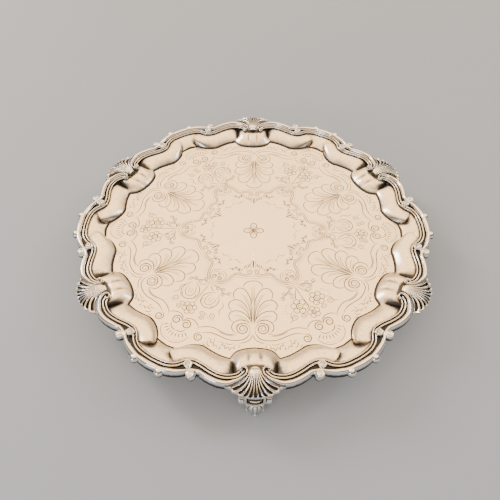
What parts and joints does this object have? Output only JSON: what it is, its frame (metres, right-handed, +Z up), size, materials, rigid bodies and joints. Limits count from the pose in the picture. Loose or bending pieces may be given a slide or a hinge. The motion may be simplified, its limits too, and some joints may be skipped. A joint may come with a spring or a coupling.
{
  "type": "footed salver",
  "caption": "Round silver salver on cast feet: flat engraved centre, lobed dished rim, and a cast border of shells, S-scrolls and beaded arches.",
  "frame": {"origin": "centre of the salver on the surface that its feet stand on", "axes": "+Z up, square to the flat centre; -Y towards the shell over the first foot"},
  "size_m": [0.3054, 0.307, 0.0349],
  "materials": {
    "plate_silver": "polished silver with fine wear scratches and dark engraved lines",
    "cast_silver": "polished cast silver with dark oxide left in the hollows"
  },
  "bodies": {
    "root": {"plate": "plate_silver", "shell_1": "cast_silver", "shell_2": "cast_silver", "shell_3": "cast_silver", "shell_4": "cast_silver", "shell_5": "cast_silver", "shell_6": "cast_silver", "scroll_right_1": "cast_silver", "scroll_right_2": "cast_silver", "scroll_right_3": "cast_silver", "scroll_right_4": "cast_silver", "scroll_right_5": "cast_silver", "scroll_right_6": "cast_silver", "scroll_left_1": "cast_silver", "scroll_left_2": "cast_silver", "scroll_left_3": "cast_silver", "scroll_left_4": "cast_silver", "scroll_left_5": "cast_silver", "scroll_left_6": "cast_silver", "arch_1": "cast_silver", "arch_2": "cast_silver", "arch_3": "cast_silver", "arch_4": "cast_silver", "arch_5": "cast_silver", "arch_6": "cast_silver", "foot_1": "cast_silver", "foot_2": "cast_silver", "foot_3": "cast_silver"}
  },
  "joints": []
}
